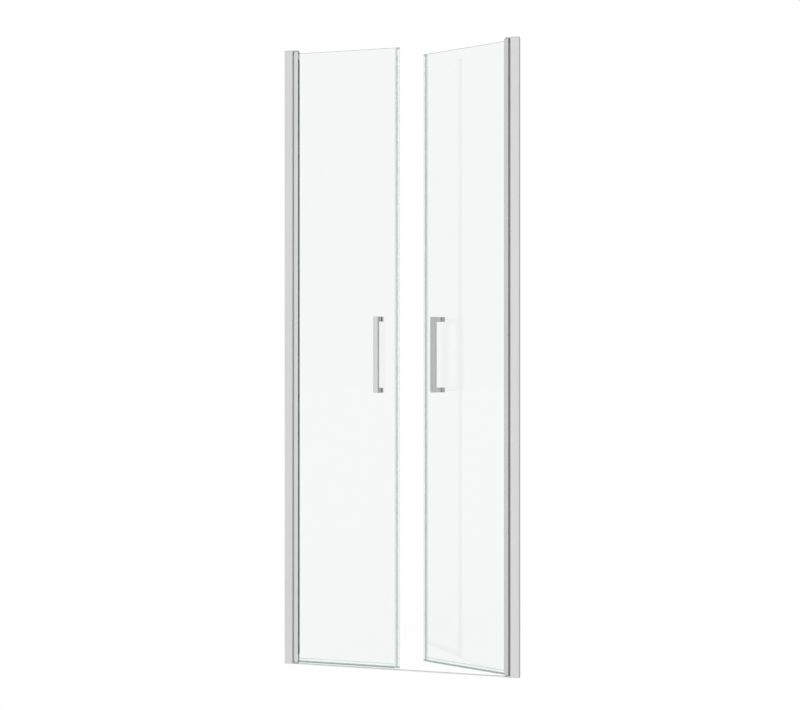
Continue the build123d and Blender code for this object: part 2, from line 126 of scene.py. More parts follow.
class DoorSizes(bpy.types.PropertyGroup):
    """Small sizes of the pieces that are modelled here"""

    metal_edge: bpy.props.FloatProperty(
        name="Metal edge",
        description="Rounding of the cut and cast metal edges",
        default=0.25 * MM,
        unit="LENGTH",
    )
    plastic_edge: bpy.props.FloatProperty(
        name="Plastic edge",
        description="Rounding of the moulded plastic edges",
        default=0.35 * MM,
        unit="LENGTH",
    )
    cap_groove: bpy.props.FloatProperty(
        name="Cap groove",
        description="Depth of the step round the wall profile caps",
        default=0.3 * MM,
        unit="LENGTH",
    )
    seal_wall: bpy.props.FloatProperty(
        name="Seal wall",
        description="Wall of the clear seals",
        default=0.85 * MM,
        unit="LENGTH",
    )
    seal_web: bpy.props.FloatProperty(
        name="Seal web",
        description="Thickness of the seals between the glass and what is past its edge",
        default=1.0 * MM,
        unit="LENGTH",
    )
    seal_notch: bpy.props.FloatProperty(
        name="Seal notch",
        description="Depth of the groove between the clip and the magnet chamber",
        default=0.5 * MM,
        unit="LENGTH",
    )
    seal_corner: bpy.props.FloatProperty(
        name="Seal corner",
        description="Rounding of the seal where the two leaves meet",
        default=1.2 * MM,
        unit="LENGTH",
    )
    lip_tip: bpy.props.FloatProperty(
        name="Lip tip",
        description="Thickness of the bottom seal's lips at their tips",
        default=0.45 * MM,
        unit="LENGTH",
    )
    bead_height: bpy.props.FloatProperty(
        name="Gasket bead",
        description="How far the glazing gasket's bead stands out from the hinge profile",
        default=0.9 * MM,
        unit="LENGTH",
    )
    bead_overlap: bpy.props.FloatProperty(
        name="Bead overlap",
        description="How far the bead laps over the hinge profile's end face",
        default=2.8 * MM,
        unit="LENGTH",
    )


class DoorColours(bpy.types.PropertyGroup):
    """Colours of the finishes"""

    aluminium: bpy.props.FloatVectorProperty(
        name="Aluminium",
        description="Satin silver anodised profiles",
        default=(0.74, 0.74, 0.742),
        subtype="COLOR",
    )
    chrome: bpy.props.FloatVectorProperty(
        name="Handle",
        description="Satin chromed handles",
        default=(0.72, 0.72, 0.72),
        subtype="COLOR",
    )
    # Painted shade: the handles' chrome at 0.8 of its colour, darker for caps seen through the
    # glass.
    inner_cap: bpy.props.FloatVectorProperty(
        name="Inner cap",
        description="Satin chromed caps on the inner side of the glass",
        default=(0.576, 0.576, 0.576),
        subtype="COLOR",
    )
    steel: bpy.props.FloatVectorProperty(
        name="Steel",
        description="Stainless steel screws, pins and studs",
        default=(0.56, 0.55, 0.53),
        subtype="COLOR",
    )
    casting: bpy.props.FloatVectorProperty(
        name="Casting",
        description="Powder coated pivot brackets",
        default=(0.48, 0.485, 0.49),
        subtype="COLOR",
    )
    grey_plastic: bpy.props.FloatVectorProperty(
        name="Grey plastic",
        description="Moulded end plugs and wall profile caps",
        default=(0.46, 0.465, 0.47),
        subtype="COLOR",
    )
    pale_plastic: bpy.props.FloatVectorProperty(
        name="Pale plastic",
        description="Moulded screw covers",
        default=(0.62, 0.63, 0.63),
        subtype="COLOR",
    )
    bearing: bpy.props.FloatVectorProperty(
        name="Bearing",
        description="Plastic of the pivot bushes",
        default=(0.6, 0.59, 0.55),
        subtype="COLOR",
    )
    rubber: bpy.props.FloatVectorProperty(
        name="Gasket",
        description="Glazing gaskets",
        default=(0.13, 0.132, 0.135),
        subtype="COLOR",
    )
    handle_rubber: bpy.props.FloatVectorProperty(
        name="Handle gasket",
        description="Gaskets under the handles",
        default=(0.5, 0.5, 0.503),
        subtype="COLOR",
    )
    seal: bpy.props.FloatVectorProperty(
        name="Seal",
        description="Soft clear plastic of the seals",
        default=(0.99, 1.0, 0.997),
        subtype="COLOR",
    )
    seal_clip: bpy.props.FloatVectorProperty(
        name="Seal clip",
        description="Stiffer plastic where the free edge seals grip the glass",
        default=(0.9, 0.935, 0.92),
        subtype="COLOR",
    )
    # Partly painted shade: in the bottom seals this dark also stands for the shade under the leaves.
    seal_dark_and_shade: bpy.props.FloatVectorProperty(
        name="Seal web",
        description="Thick stretches of the seals and their end caps",
        default=(0.54, 0.61, 0.58),
        subtype="COLOR",
    )
    magnet: bpy.props.FloatVectorProperty(
        name="Magnet",
        description="Magnet strips in the seals",
        default=(0.94, 0.95, 0.945),
        subtype="COLOR",
    )
    glass_face: bpy.props.FloatVectorProperty(
        name="Glass face",
        description="Tint of the glass seen through its faces",
        default=(0.905, 0.933, 0.924),
        subtype="COLOR",
    )
    glass_edge: bpy.props.FloatVectorProperty(
        name="Glass edge",
        description="Tint of the glass seen through its ground edges",
        default=(0.06, 0.14, 0.11),
        subtype="COLOR",
    )


class DoorStudio(bpy.types.PropertyGroup):
    """Camera, lamps, floor and backdrop"""

    camera_place: bpy.props.FloatVectorProperty(
        name="Camera place",
        description="Where the camera stands",
        default=(1.71358, -5.01245, 0.982),
        subtype="TRANSLATION",
    )
    camera_turn: bpy.props.FloatProperty(
        name="Camera turn",
        description="Turn of the level camera from looking along Y",
        default=math.radians(18.87),
        subtype="ANGLE",
    )
    lens: bpy.props.FloatProperty(
        name="Lens",
        description="Focal length in millimetres on a 36 mm wide sensor",
        default=76.5,
    )
    floor_size: bpy.props.FloatProperty(
        name="Floor size",
        description="Length of the square floor's sides",
        default=80.0,
        unit="LENGTH",
    )
    floor_white: bpy.props.FloatProperty(
        name="Floor white",
        description="Share of plain white in the floor, the rest of which takes the shadow",
        default=0.86,
        subtype="FACTOR",
    )
    floor_glow: bpy.props.FloatProperty(
        name="Floor glow",
        description="Strength of that white, at which the lit floor meets the backdrop unseen",
        default=1.045,
    )
    key_strength: bpy.props.FloatProperty(
        name="Key lamp",
        description="Strength of the soft lamp in front",
        default=1.75,
    )
    back_strength: bpy.props.FloatProperty(
        name="Back lamp",
        description="Strength of the soft lamp behind",
        default=0.9,
    )
    ambient: bpy.props.FloatProperty(
        name="Ambient",
        description="Strength of the light from all round",
        default=0.3,
        subtype="FACTOR",
    )


# Shaders


class Value:
    """A number, colour or vector in a shader, for maths written as plain expressions"""

    def __init__(self, shader, socket):
        self.shader = shader
        self.socket = socket

    def __add__(self, other):
        return self.shader.maths("ADD", self, other)

    def __sub__(self, other):
        return self.shader.maths("SUBTRACT", self, other)

    def __rsub__(self, other):
        return self.shader.maths("SUBTRACT", other, self)

    def __mul__(self, other):
        return self.shader.maths("MULTIPLY", self, other)

    __radd__ = __add__
    __rmul__ = __mul__

    def between(self, low, high):
        """Takes a value that goes from 0 to 1 to one that goes from low to high."""
        return self * (high - low) + low


class Shader:
    """The nodes of one material or of the world"""

    def __init__(self, owner):
        owner.use_nodes = True
        self.tree = owner.node_tree
        self.tree.nodes.clear()

    def node(self, kind, settings=None, values=None, output=0):
        """Adds a node. Settings come first, and values fill or link its sockets."""
        made = self.tree.nodes.new(kind)
        for name, setting in (settings or {}).items():
            setattr(made, name, setting)
        for name, value in (values or {}).items():
            socket = self.find(made.inputs, name)
            if isinstance(value, Value):
                self.tree.links.new(value.socket, socket)
            else:
                socket.default_value = value
        return Value(self, self.find(made.outputs, output))

    @staticmethod
    def find(sockets, name):
        """A socket by its place in the list, its identifier or its name."""
        if isinstance(name, int):
            return sockets[name]
        for socket in sockets:
            if socket.identifier == name:
                return socket
        return sockets[name]

    def maths(self, operation, first, second):
        """Maths on two numbers, or on two vectors if one of them is a vector."""
        vectors = [
            isinstance(x, tuple) or (isinstance(x, Value) and x.socket.type == "VECTOR")
            for x in (first, second)
        ]
        kind = "ShaderNodeVectorMath" if any(vectors) else "ShaderNodeMath"
        return self.node(kind, {"operation": operation}, {0: first, 1: second})

    def mix(self, factor, first, second):
        """A colour between two others."""
        return self.node(
            "ShaderNodeMix",
            {"data_type": "RGBA"},
            {"Factor_Float": factor, "A_Color": first, "B_Color": second},
            "Result_Color",
        )

    def shades(self, factor, colour, low, high):
        """A colour that goes from a low to a high share of itself as the factor rises."""
        return self.mix(factor, opaque(colour, low), opaque(colour, high))

    def ramp(self, value, start, end):
        """A smooth step from 0 to 1 as the value goes from start to end."""
        return self.node(
            "ShaderNodeMapRange",
            {"interpolation_type": "SMOOTHSTEP"},
            {"Value": value, "From Min": start, "From Max": end},
        )

    def noise(self, place, scale, detail=2.0):
        """Even noise from 0 to 1, about 1 / scale metres across."""
        return self.node(
            "ShaderNodeTexNoise",
            None,
            {"Vector": place, "Scale": scale, "Detail": detail},
        )

    def bump(self, height, distance):
        """Normals of a surface whose height goes from 0 to the distance."""
        return self.node(
            "ShaderNodeBump", None, {"Height": height, "Distance": distance, "Strength": 1.0}
        )

    def place(self):
        """The point on the surface, in the door's own frame."""
        return self.node("ShaderNodeTexCoord", output="Object")

    def split(self, place):
        """The three coordinates of a place."""
        made = self.node("ShaderNodeSeparateXYZ", None, {"Vector": place})
        return [Value(self, socket) for socket in made.socket.node.outputs]

    def output(self, surface, kind="ShaderNodeOutputMaterial"):
        """Shows the finished surface."""
        made = self.tree.nodes.new(kind)
        self.tree.links.new(surface.socket, made.inputs["Surface"])

    def principled(self, values):
        """Shows a principled surface with these values."""
        self.output(self.node("ShaderNodeBsdfPrincipled", None, values))


def opaque(colour, share=1.0):
    """A colour with its alpha, scaled by a share."""
    return tuple(part * share for part in colour) + (1.0,)


def make_material(name, build, *settings):
    """A finish by name, built once and then shared."""
    if name not in finishes:
        finishes[name] = bpy.data.materials.new(name + "_finish")
        build(Shader(finishes[name]), *settings)
    return finishes[name]


# Finishes

# Factors that stretch the noise along a piece, or round an upright pin.
ALONG_PROFILE = (1.0, 1.0, 0.012)
ALONG_THRESHOLD = (0.012, 1.0, 1.0)
ALONG_MAGNET = (1.0, 1.0, 0.2)
ROUND_PIN = (0.08, 0.08, 1.0)

# Scales of the noise, in waves to a metre.
LINE_SCALE = 2500.0
STREAK_SCALE = 320.0
CLOUD_SCALE = 7.0
PEEL_SCALE = 1400.0
TURNING_SCALE = 5200.0
MOULD_SCALE = 2600.0
SHADE_SCALE = 60.0
RUBBER_SCALE = 1800.0
BLOOM_SCALE = 25.0
MILK_SCALE = 40.0
FILLER_SCALE = 1500.0
WAVE_SCALE = 3.0
FINE_DETAIL = 3.0

# Shares of each noise in the tone of a surface.
LINE_TONE = 0.3
STREAK_TONE = 0.4
CLOUD_TONE = 0.3
MOULD_TONE = 0.6
SHADE_TONE = 0.4
BLOOM_RANGE = (0.35, 0.75)

# Depths of the fine relief.
PROFILE_RELIEF = 0.01 * MM
CHROME_RELIEF = 0.006 * MM
PEEL_RELIEF = 0.03 * MM
TURNING_RELIEF = 0.006 * MM
MOULD_RELIEF = 0.012 * MM
RUBBER_RELIEF = 0.02 * MM
CLEAR_RELIEF = 0.0015 * MM
FILLER_RELIEF = 0.003 * MM

# How light bends in what it passes through.
GLASS_IOR = 1.5
CLEAR_IOR = 1.25
MAGNET_IOR = 1.2

GROUND_EDGE = 0.5 * MM

# How far the lines and clouds of a drawn metal change its roughness.
LINE_GLOSS = 0.12
CLOUD_GLOSS = 0.06
MEAN_GLOSS = (LINE_GLOSS + CLOUD_GLOSS) / 2

# Lowest and highest roughness.
PEEL_ROUGHNESS = (0.42, 0.57)
TURNING_ROUGHNESS = (0.2, 0.34)
RUBBER_ROUGHNESS = (0.55, 0.75)
CLEAR_ROUGHNESS = (0.03, 0.07)
FILLER_ROUGHNESS = (0.15, 0.2)

# Metallic share, roughness and painted shade towards grazing views.
ANODISED = (0.6, 0.45, 0.55)
CHROMED = (0.8, 0.35, 0.62)

PLUG_ROUGHNESS = 0.5
BEARING_ROUGHNESS = 0.4
COVER_ROUGHNESS = 0.42
MOULD_ROUGHNESS_SPREAD = 0.08
GROUND_ROUGHNESS = 0.3
MAGNET_CLEARNESS = 0.95

# The free edge seal darkens to the glass's edge and is clear again past its web.
GRIP_FADE = 5.0 * MM
GRIP_SHADE = 0.84
WEB_END = 1.2 * MM
CHAMBER_START = 2.0 * MM

# The bottom seal is dark from the glass's bottom down to its lips, partly its thick web and partly
# painted shade under the leaf, and along its rim.
WEB_TOP = 0.2 * MM
WEB_DARK = 0.6 * MM
LIP_DARK = 2.6 * MM
LIP_CLEAR = 1.2 * MM
RIM_CLEAR = 1.6 * MM
RIM_DARK = 0.8 * MM
RIM_SHARE = 0.6


def leaf_coordinates(shader, place, side):
    """A place on a leaf, from its hinge axis, with X along the leaf to its free edge."""
    return shader.node(
        "ShaderNodeMapping",
        {"vector_type": "TEXTURE"},
        {
            "Vector": place,
            "Location": hinge_place(side),
            "Rotation": (0, 0, rest_angle(side)),
            "Scale": (1 if side == "left" else -1, 1, 1),
        },
    )


def build_drawn_metal(shader, colour, direction, metallic, roughness, painted_shade_falloff, line_depth):
    """Satin metal with shade painted in, darker towards grazing views, and the fine lines that
    drawing and brushing leave.
    """
    place = shader.place()
    lines = shader.noise(place * direction, LINE_SCALE, FINE_DETAIL)
    streaks = shader.noise(place * direction, STREAK_SCALE)
    clouds = shader.noise(place, CLOUD_SCALE)
    tone = lines * LINE_TONE + streaks * STREAK_TONE + clouds * CLOUD_TONE
    lit = shader.shades(tone, colour, low=0.93, high=1.07)
    # Painted shade: the colour goes towards black as the surface is seen more edge-on.
    painted_slant_shade = shader.node("ShaderNodeLayerWeight", output="Facing")
    shader.principled(
        {
            "Base Color": shader.mix(painted_slant_shade * painted_shade_falloff, lit, opaque(colour, 0.0)),
            "Metallic": metallic,
            "Roughness": lines * LINE_GLOSS + clouds * CLOUD_GLOSS + (roughness - MEAN_GLOSS),
            "Normal": shader.bump(lines, line_depth),
        }
    )


def build_cast_metal(shader, colour):
    """Powder coat with its fine orange peel."""
    place = shader.place()
    grain = shader.noise(place, PEEL_SCALE, FINE_DETAIL)
    shader.principled(
        {
            "Base Color": shader.shades(grain, colour, low=0.93, high=1.05),
            "Roughness": grain.between(*PEEL_ROUGHNESS),
            "Normal": shader.bump(grain, PEEL_RELIEF),
        }
    )


def build_turned_steel(shader, colour):
    """Bright steel with the faint rings of turning."""
    place = shader.place()
    rings = shader.noise(place * ROUND_PIN, TURNING_SCALE)
    shader.principled(
        {
            "Base Color": shader.shades(rings, colour, low=0.9, high=1.06),
            "Metallic": 1.0,
            "Roughness": rings.between(*TURNING_ROUGHNESS),
            "Normal": shader.bump(rings, TURNING_RELIEF),
        }
    )


def build_moulded_plastic(shader, colour, roughness):
    """Moulded plastic with a fine spark eroded grain."""
    place = shader.place()
    grain = shader.noise(place, MOULD_SCALE)
    clouds = shader.noise(place, SHADE_SCALE)
    tone = grain * MOULD_TONE + clouds * SHADE_TONE
    shader.principled(
        {
            "Base Color": shader.shades(tone, colour, low=0.9, high=1.1),
            "Roughness": grain.between(
                roughness - MOULD_ROUGHNESS_SPREAD, roughness + MOULD_ROUGHNESS_SPREAD
            ),
            "Normal": shader.bump(grain, MOULD_RELIEF),
        }
    )


def build_rubber(shader, colour):
    """Extruded rubber, dull, with a faint bloom."""
    place = shader.place()
    grain = shader.noise(place, RUBBER_SCALE, FINE_DETAIL)
    bloom = shader.ramp(shader.noise(place, BLOOM_SCALE), *BLOOM_RANGE)
    shader.principled(
        {
            "Base Color": shader.shades(bloom, colour, low=0.92, high=1.25),
            "Roughness": grain.between(*RUBBER_ROUGHNESS),
            "Normal": shader.bump(grain, RUBBER_RELIEF),
        }
    )


def build_clear_plastic(shader, colour):
    """Soft clear plastic, slightly milky, with drawing lines along its length."""
    place = shader.place()
    milk = shader.noise(place, MILK_SCALE)
    clear_plastic(shader, place, shader.shades(milk, colour, low=0.98, high=1.02))


def build_free_edge_seal(shader, side, clip, chamber):
    """Clear plastic, darker towards the glass's edge than at the clip's rim and round the magnet."""
    edge = leaf_box("glass_panel")[1].x
    place = shader.place()
    along, _, _ = shader.split(leaf_coordinates(shader, place, side))
    past = shader.ramp(along, edge + WEB_END, edge + CHAMBER_START)
    near = shader.ramp(along, edge - GRIP_FADE, edge)
    gripping = shader.shades(near, clip, low=1.0, high=GRIP_SHADE)
    clear_plastic(shader, place, shader.mix(past, gripping, opaque(chamber)))


def build_bottom_seal(shader, clear, dark):
    """Clear plastic, darker in the thick web under the glass, with painted shade under the leaf down
    into the lips, and along the clip's rim.
    """
    low, high = leaf_box("bottom_seal")
    glass_bottom = leaf_box("glass_panel")[0].z
    place = shader.place()
    _, _, up = shader.split(place)
    # Painted shade in part: the dark under the glass reaches down into the lips, for the shade under
    # the leaf.
    under = shader.ramp(up, glass_bottom + WEB_TOP, glass_bottom - WEB_DARK)
    lips = shader.ramp(up, low.z + LIP_DARK, low.z + LIP_CLEAR)
    rim = shader.ramp(up, high.z - RIM_CLEAR, high.z - RIM_DARK)
    colour = shader.mix(under - lips, opaque(clear), opaque(dark))
    clear_plastic(shader, place, shader.mix(rim * RIM_SHARE, colour, opaque(dark)))


def clear_plastic(shader, place, colour):
    """Shows clear plastic of a colour that varies."""
    lines = shader.noise(place * ALONG_PROFILE, LINE_SCALE)
    shader.principled(
        {
            "Base Color": colour,
            "Roughness": lines.between(*CLEAR_ROUGHNESS),
            "Transmission Weight": 1.0,
            "IOR": CLEAR_IOR,
            "Normal": shader.bump(lines, CLEAR_RELIEF),
        }
    )


def build_magnet(shader, colour):
    """Milky white magnet strip with the fine stripes of its filler."""
    place = shader.place()
    grain = shader.noise(place * ALONG_MAGNET, FILLER_SCALE)
    shader.principled(
        {
            "Base Color": shader.shades(grain, colour, low=0.94, high=1.04),
            "Roughness": grain.between(*FILLER_ROUGHNESS),
            "Transmission Weight": MAGNET_CLEARNESS,
            "IOR": MAGNET_IOR,
            "Normal": shader.bump(grain, FILLER_RELIEF),
        }
    )


def build_glass(shader, side, face, edge):
    """Clear float glass, greener through its ground edges."""
    low, high = leaf_box("glass_panel")
    place = shader.place()
    along, _, up = shader.split(leaf_coordinates(shader, place, side))
    mask = None
    for value, end, inward in (
        (along, high.x, -GROUND_EDGE),
        (along, low.x, GROUND_EDGE),
        (up, high.z, -GROUND_EDGE),
        (up, low.z, GROUND_EDGE),
    ):
        near = shader.ramp(value, end + inward, end + inward / 2)
        mask = shader.maths("MAXIMUM", mask, near) if mask else near
    waves = shader.noise(place, WAVE_SCALE)
    tint = shader.shades(waves, face, low=0.997, high=1.003)
    shader.principled(
        {
            "Base Color": shader.mix(mask, tint, opaque(edge)),
            "Roughness": mask * GROUND_ROUGHNESS,
            "Transmission Weight": 1.0,
            "IOR": GLASS_IOR,
        }
    )


def aluminium_material(direction=ALONG_PROFILE, name="anodised_aluminium"):
    """The profiles' finish, with its drawing lines along them."""
    colours = bpy.context.scene.door_colours
    return make_material(
        name, build_drawn_metal, colours.aluminium, direction, *ANODISED, PROFILE_RELIEF
    )


def chrome_material(name, colour):
    """The finish of the handles and of their inner caps."""
    return make_material(
        name, build_drawn_metal, colour, ALONG_PROFILE, *CHROMED, CHROME_RELIEF
    )


def steel_material():
    """The finish of screws, pins and studs."""
    return make_material(
        "stainless_steel", build_turned_steel, bpy.context.scene.door_colours.steel
    )


def seal_material():
    """The clear seals' finish."""
    return make_material(
        "clear_seal", build_clear_plastic, bpy.context.scene.door_colours.seal
    )


def grey_plastic_material():
    """The finish of the wall profile caps and end plugs."""
    return make_material(
        "grey_plastic",
        build_moulded_plastic,
        bpy.context.scene.door_colours.grey_plastic,
        PLUG_ROUGHNESS,
    )


# Pieces

# The wall profile cap: its plug in the profile's back, its corners and the groove on top.
CAP_PLUG_GAP = 0.25 * MM
CAP_PLUG_INSET = 2.05 * MM
CAP_CORNER = 0.6 * MM
CAP_RIM = 1.1 * MM
CAP_GROOVE_SLOPE = 0.25 * MM
FACING_UP = 0.5

# The seals: their fit on the glass and the roundings of their sections.
SEAL_CLEARANCE = 0.05 * MM
CLIP_CORNER = 0.4 * MM
CLIP_MOUTH = 0.3 * MM
BOTTOM_CORNER = 0.35 * MM
BOTTOM_MOUTH = 0.25 * MM
LIP_CORNER = 0.15 * MM

# The glazing gasket: its fit on the glass and in the hinge profile, and its bead.
GASKET_SIDE_GAP = 0.025 * MM
GASKET_END_GAP = 0.05 * MM
GASKET_PROFILE_GAP = 0.03 * MM
BEAD_LIP = 0.3 * MM
BEAD_SHOULDER = 0.55
BEAD_CORNER = 0.2 * MM


def dress(node_name, material, edge=0.0):
    """Gives a node of the frame its finish and, where it asks for one, a rounded edge."""
    node = frame["nodes"][node_name]
    node.data.materials.clear()
    node.data.materials.append(material)
    if edge:
        weld = node.modifiers.new("Weld", "WELD")
        weld.merge_threshold = MERGE_DISTANCE
        flat = node.modifiers.new("Flat faces", "DECIMATE")
        flat.decimate_type = "DISSOLVE"
        flat.angle_limit = FLAT_ANGLE
        rounded = node.modifiers.new("Rounded edges", "BEVEL")
        rounded.width = edge
        rounded.segments = EDGE_SEGMENTS
        rounded.limit_method = "ANGLE"
        rounded.angle_limit = SMOOTH_ANGLE
        rounded.harden_normals = True


def dress_sides(names, material, edge=0.0):
    """Dresses the left and the right node of each name."""
    for name in names:
        for side in SIDES:
            dress(f"{name}_{side}", material, edge)


def draw_face(bm, points, roundings=()):
    """One flat face through the points, with a rounding for each set of its corners."""
    corners = [bm.verts.new((x, y, 0)) for x, y in points]
    bm.faces.new(corners)
    for radius, places in roundings:
        bmesh.ops.bevel(
            bm,
            geom=[corners[place] for place in places],
            offset=radius,
            affect="VERTICES",
            segments=ROUND_SEGMENTS,
            profile=ROUND_PROFILE,
            material=-1,
        )


def extrude(bm, faces, along):
    """Extrudes faces along a vector."""
    made = bmesh.ops.extrude_face_region(bm, geom=faces)
    moved = [part for part in made["geom"] if isinstance(part, bmesh.types.BMVert)]
    bmesh.ops.translate(bm, vec=along, verts=moved)


def mirror_half(bm):
    """Completes a piece that is drawn on the positive side of Y and open at Y = 0."""
    inner = [
        face
        for face in bm.faces
        if all(abs(corner.co.y) < MERGE_DISTANCE for corner in face.verts)
    ]
    bmesh.ops.delete(bm, geom=inner, context="FACES")
    bmesh.ops.mirror(bm, geom=bm.faces[:], axis="Y", merge_dist=MERGE_DISTANCE)


def round_edges(bm, edges, radius):
    """Rounds a mesh's edges."""
    bmesh.ops.bevel(
        bm,
        geom=edges,
        offset=radius,
        affect="EDGES",
        segments=ROUND_SEGMENTS,
        profile=ROUND_PROFILE,
        material=-1,
    )


def finish_piece(bm, name, matrix, body, material):
    """Makes a placed, closed mesh into a piece that stands for the node of its name."""
    bmesh.ops.transform(bm, matrix=matrix, verts=bm.verts)
    bmesh.ops.remove_doubles(bm, verts=bm.verts, dist=MERGE_DISTANCE)
    bmesh.ops.recalc_face_normals(bm, faces=bm.faces)
    mesh = bpy.data.meshes.new(name)
    bm.to_mesh(mesh)
    bm.free()
    mesh.shade_smooth()
    mesh.set_sharp_from_angle(angle=SMOOTH_ANGLE)
    mesh.materials.append(material)
    piece = bpy.data.objects.new(name + "_piece", mesh)
    bpy.context.scene.collection.objects.link(piece)
    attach(piece, body)
    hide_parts(name)
    return piece


def make_wall_profile_cap(sizes):
    """Cap with a stepped top on the wall profile, and its plug in the profile's back."""
    low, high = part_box("wall_profile_cap_left")
    profile_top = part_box("wall_profile_left")[1].z
    plug_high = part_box("adjusting_post_left")[0].x - CAP_PLUG_GAP
    plug_low = low.x + CAP_PLUG_INSET
    plug_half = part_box("adjusting_post_left")[1].y
    bm = bmesh.new()
    draw_face(
        bm,
        [(low.x, low.y), (high.x, low.y), (high.x, high.y), (low.x, high.y)],
        [(CAP_CORNER, (0, 1, 2, 3))],
    )
    extrude(bm, bm.faces[:], (0, 0, high.z - profile_top))
    bmesh.ops.translate(bm, vec=(0, 0, profile_top), verts=bm.verts)
    top = [face for face in bm.faces if face.calc_center_median().z > high.z - MERGE_DISTANCE]
    bmesh.ops.inset_region(bm, faces=top, thickness=CAP_RIM)
    bmesh.ops.inset_region(
        bm, faces=top, thickness=CAP_GROOVE_SLOPE, depth=-sizes.cap_groove
    )
    rim = [
        edge
        for edge in bm.edges
        if all(corner.co.z > high.z - MERGE_DISTANCE for corner in edge.verts)
        and any(face.normal.z < FACING_UP for face in edge.link_faces)
    ]
    round_edges(bm, rim, sizes.plastic_edge / 2)
    for place, normal in (
        ((plug_low, 0, 0), (1, 0, 0)),
        ((plug_high, 0, 0), (1, 0, 0)),
        ((0, -plug_half, 0), (0, 1, 0)),
        ((0, plug_half, 0), (0, 1, 0)),
    ):
        under = [
            face
            for face in bm.faces
            if face.calc_center_median().z < profile_top + MERGE_DISTANCE
        ]
        around = {part for face in under for part in [face, *face.edges, *face.verts]}
        bmesh.ops.bisect_plane(bm, geom=list(around), plane_co=place, plane_no=normal)
    foot = [
        face
        for face in bm.faces
        if face.calc_center_median().z < profile_top + MERGE_DISTANCE
        and plug_low < face.calc_center_median().x < plug_high
        and abs(face.calc_center_median().y) < plug_half
    ]
    extrude(bm, foot, (0, 0, low.z - profile_top))
    return bm


def make_free_edge_seal(sizes):
    """Clip over the glass edge with rounded tips, and the chamber for the magnet."""
    low, high = leaf_box("free_edge_seal")
    glass = leaf_box("glass_panel")[1]
    slot = glass.y + SEAL_CLEARANCE
    slot_end = glass.x + SEAL_CLEARANCE
    chamber = glass.x + sizes.seal_web
    chamber_end = high.x - sizes.seal_wall
    chamber_half = high.y - sizes.seal_wall
    bm = bmesh.new()
    draw_face(
        bm,
        [
            (low.x, slot),
            (slot_end, slot),
            (slot_end, 0),
            (chamber, 0),
            (chamber, chamber_half),
            (chamber_end, chamber_half),
            (chamber_end, 0),
            (high.x, 0),
            (high.x, high.y),
            (chamber + sizes.seal_notch, high.y),
            (chamber, high.y - sizes.seal_notch),
            (chamber - sizes.seal_notch, high.y),
            (low.x, high.y),
        ],
        [(sizes.seal_corner, (8,)), (CLIP_CORNER, (12,)), (CLIP_MOUTH, (0, 5))],
    )
    extrude(bm, bm.faces[:], (0, 0, high.z - low.z))
    bmesh.ops.translate(bm, vec=(0, 0, low.z), verts=bm.verts)
    mirror_half(bm)
    return bm


def make_bottom_seal(sizes):
    """Clip under the glass with an upright lip and a slanted drip lip, both tapered."""
    low, high = leaf_box("bottom_seal")
    glass_low, glass_high = leaf_box("glass_panel")
    outer = -low.y
    slot = glass_high.y + SEAL_CLEARANCE
    slot_floor = glass_low.z - SEAL_CLEARANCE
    base = glass_low.z - sizes.seal_web
    wall = sizes.seal_wall
    tip = sizes.lip_tip
    bm = bmesh.new()
    draw_face(
        bm,
        [
            (-outer, base),
            (-wall / 2, base),
            (-tip / 2, low.z),
            (tip / 2, low.z),
            (wall / 2, base),
            (outer - wall, base),
            (high.y - tip, low.z),
            (high.y, low.z),
            (outer, base + wall),
            (outer, high.z),
            (slot, high.z),
            (slot, slot_floor),
            (-slot, slot_floor),
            (-slot, high.z),
            (-outer, high.z),
        ],
        [
            (BOTTOM_CORNER, (0, 9, 14)),
            (BOTTOM_MOUTH, (10, 13)),
            (LIP_CORNER, (2, 3, 6, 7)),
        ],
    )
    extrude(bm, bm.faces[:], (0, 0, high.x - low.x))
    upright = Matrix(((0, 0, 1, low.x), (1, 0, 0, 0), (0, 1, 0, 0), (0, 0, 0, 1)))
    bmesh.ops.transform(bm, matrix=upright, verts=bm.verts)
    return bm


def make_glazing_gasket(sizes):
    """Gasket round the glass in the hinge profile, with a rounded bead along each face."""
    low, high = leaf_box("glazing_gasket")
    glass = leaf_box("glass_panel")
    profile_end = leaf_box("hinge_profile")[1].x
    slot = glass[1].y + GASKET_SIDE_GAP
    slot_end = glass[0].x - GASKET_END_GAP
    bead = profile_end + sizes.bead_height
    bead_half = high.y + sizes.bead_overlap
    bm = bmesh.new()
    draw_face(
        bm,
        [
            (low.x, 0),
            (slot_end, 0),
            (slot_end, slot),
            (bead, slot),
            (bead, slot + BEAD_LIP),
            (profile_end + BEAD_SHOULDER * sizes.bead_height, bead_half),
            (profile_end + GASKET_PROFILE_GAP, bead_half),
            (profile_end + GASKET_PROFILE_GAP, high.y),
            (low.x, high.y),
        ],
        [(BEAD_CORNER, (4, 5))],
    )
    extrude(bm, bm.faces[:], (0, 0, high.z - low.z))
    bmesh.ops.translate(bm, vec=(0, 0, low.z), verts=bm.verts)
    mirror_half(bm)
    return bm


# Operators


class SHOWERDOOR_OT_wall_profiles(bpy.types.Operator):
    """Finish the wall profiles and the adjusting posts in them"""

    bl_idname = "showerdoor.wall_profiles"
    bl_label = "Wall Profiles"

    def execute(self, context):
        edge = context.scene.door_sizes.metal_edge
        dress_sides(["wall_profile"], aluminium_material(), edge)
        dress_sides(["adjusting_post"], aluminium_material())
        return {"FINISHED"}


class SHOWERDOOR_OT_wall_profile_caps(bpy.types.Operator):
    """Model the caps on top of the wall profiles"""

    bl_idname = "showerdoor.wall_profile_caps"
    bl_label = "Wall Profile Caps"

    def execute(self, context):
        for side in SIDES:
            finish_piece(
                make_wall_profile_cap(context.scene.door_sizes),
                f"wall_profile_cap_{side}",
                jamb_matrix(side),
                "frame",
                grey_plastic_material(),
            )
        return {"FINISHED"}


